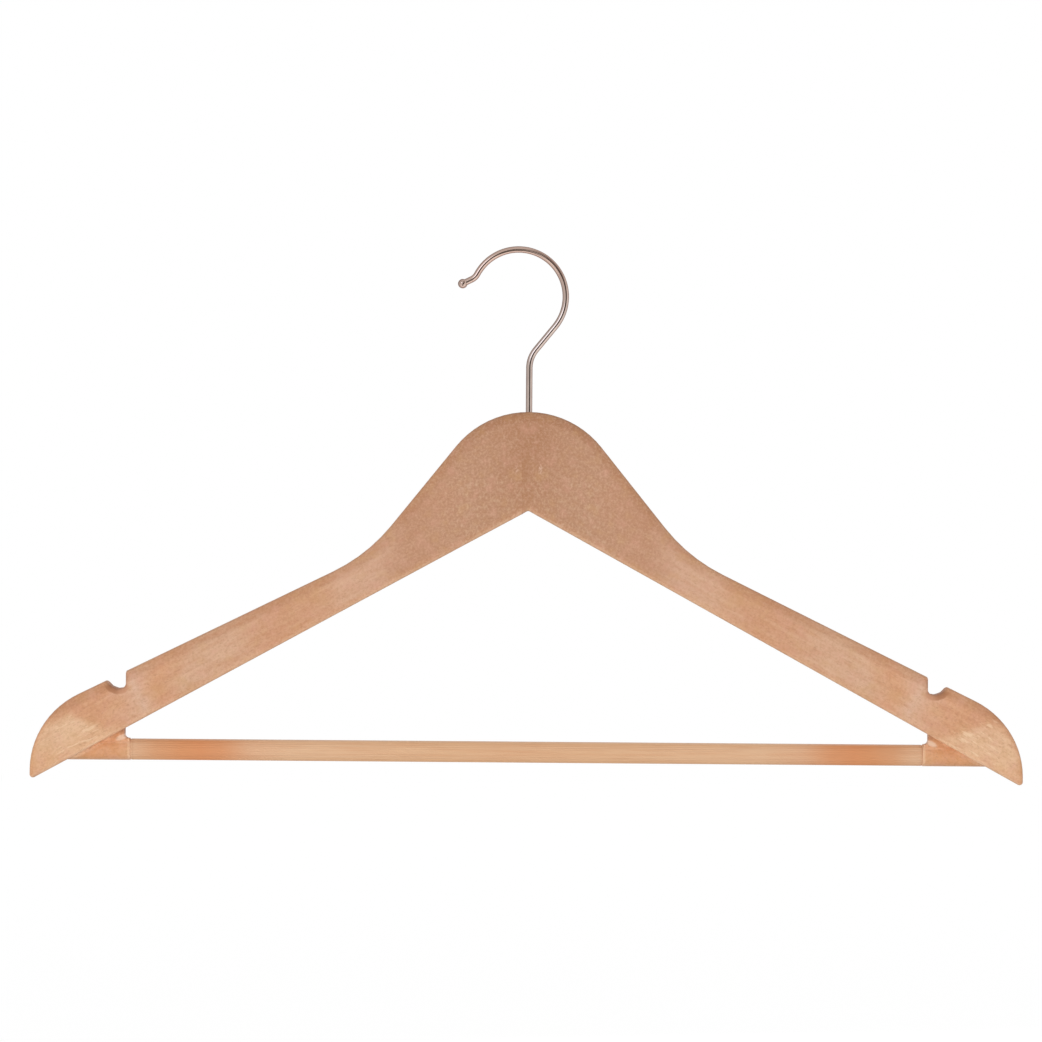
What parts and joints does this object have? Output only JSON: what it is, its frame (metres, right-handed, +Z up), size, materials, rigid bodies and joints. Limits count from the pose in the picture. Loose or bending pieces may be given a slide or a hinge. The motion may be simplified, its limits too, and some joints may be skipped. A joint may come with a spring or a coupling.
{
  "type": "suit hanger",
  "caption": "Curved wooden suit hanger with a swivelling wire hook, strap notches in the arms and a fluted trouser bar between round lugs.",
  "frame": {"origin": "rail seat: the top of the inside of the hook's loop, where the hanger rests on a rail", "axes": "+X along the trouser bar towards the right arm, +Y towards the back of the hanger, +Z up along the hook's shank"},
  "size_m": [0.45, 0.0366, 0.2443],
  "materials": {
    "body_wood": "satin",
    "bar_wood": "satin",
    "nickelled_steel": "polished"
  },
  "bodies": {
    "hook": {"hook": "nickelled_steel"},
    "hanger_body": {"left_arm": "body_wood", "right_arm": "body_wood", "trouser_bar": "bar_wood", "swivel_bush": "nickelled_steel", "hook_washer": "nickelled_steel", "bar_brad_left": "nickelled_steel", "bar_brad_right": "nickelled_steel"}
  },
  "joints": [
    {"name": "hook_swivel", "type": "hinge", "parent": "hook", "child": "hanger_body", "pos_m": [0.0052, 0, -0.085], "axis": [0, 0, 1], "continuous": true}
  ]
}
